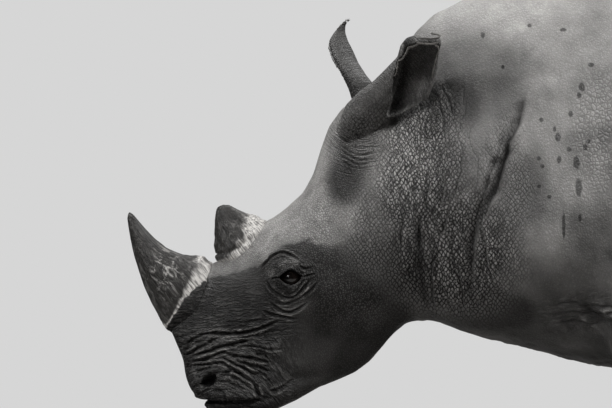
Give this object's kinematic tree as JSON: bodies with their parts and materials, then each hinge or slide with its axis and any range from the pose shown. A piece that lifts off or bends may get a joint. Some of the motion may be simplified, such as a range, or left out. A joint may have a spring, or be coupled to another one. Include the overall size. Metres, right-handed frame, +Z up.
{
  "type": "white rhinoceros figure",
  "caption": "Life-size still figure of an adult white rhinoceros, standing on its feet with its head lowered, as a museum shows it.",
  "frame": {"origin": "on the floor under the middle of the bounding box, between the four feet", "axes": "+Z up, -X towards the nose, -Y towards the animal's left side"},
  "size_m": [3.4268, 1.0592, 1.73],
  "materials": {
    "hide": "dry grey hide, creased into small cells",
    "horn": "worn keratin of fused fibres, matt, streaked along its length",
    "nail": "hoof nail of dull keratin with fine ridges",
    "eyeball": "wet dark brown eyeball",
    "bristle": "stiff black tail hair"
  },
  "bodies": {
    "root": {"head": "hide", "lower_jaw": "hide", "neck": "hide", "torso": "hide", "tail": "hide", "tail_tuft": "bristle", "ear_left": "hide", "ear_right": "hide", "eye_left": "eyeball", "eye_right": "eyeball", "horn_front": "horn", "horn_rear": "horn", "leg_fore_left_upper": "hide", "leg_fore_left_lower": "hide", "foot_fore_left": "hide", "nail_fore_left_inner": "nail", "nail_fore_left_middle": "nail", "nail_fore_left_outer": "nail", "leg_fore_right_upper": "hide", "leg_fore_right_lower": "hide", "foot_fore_right": "hide", "nail_fore_right_inner": "nail", "nail_fore_right_middle": "nail", "nail_fore_right_outer": "nail", "leg_hind_left_upper": "hide", "leg_hind_left_lower": "hide", "foot_hind_left": "hide", "nail_hind_left_inner": "nail", "nail_hind_left_middle": "nail", "nail_hind_left_outer": "nail", "leg_hind_right_upper": "hide", "leg_hind_right_lower": "hide", "foot_hind_right": "hide", "nail_hind_right_inner": "nail", "nail_hind_right_middle": "nail", "nail_hind_right_outer": "nail"}
  },
  "joints": []
}
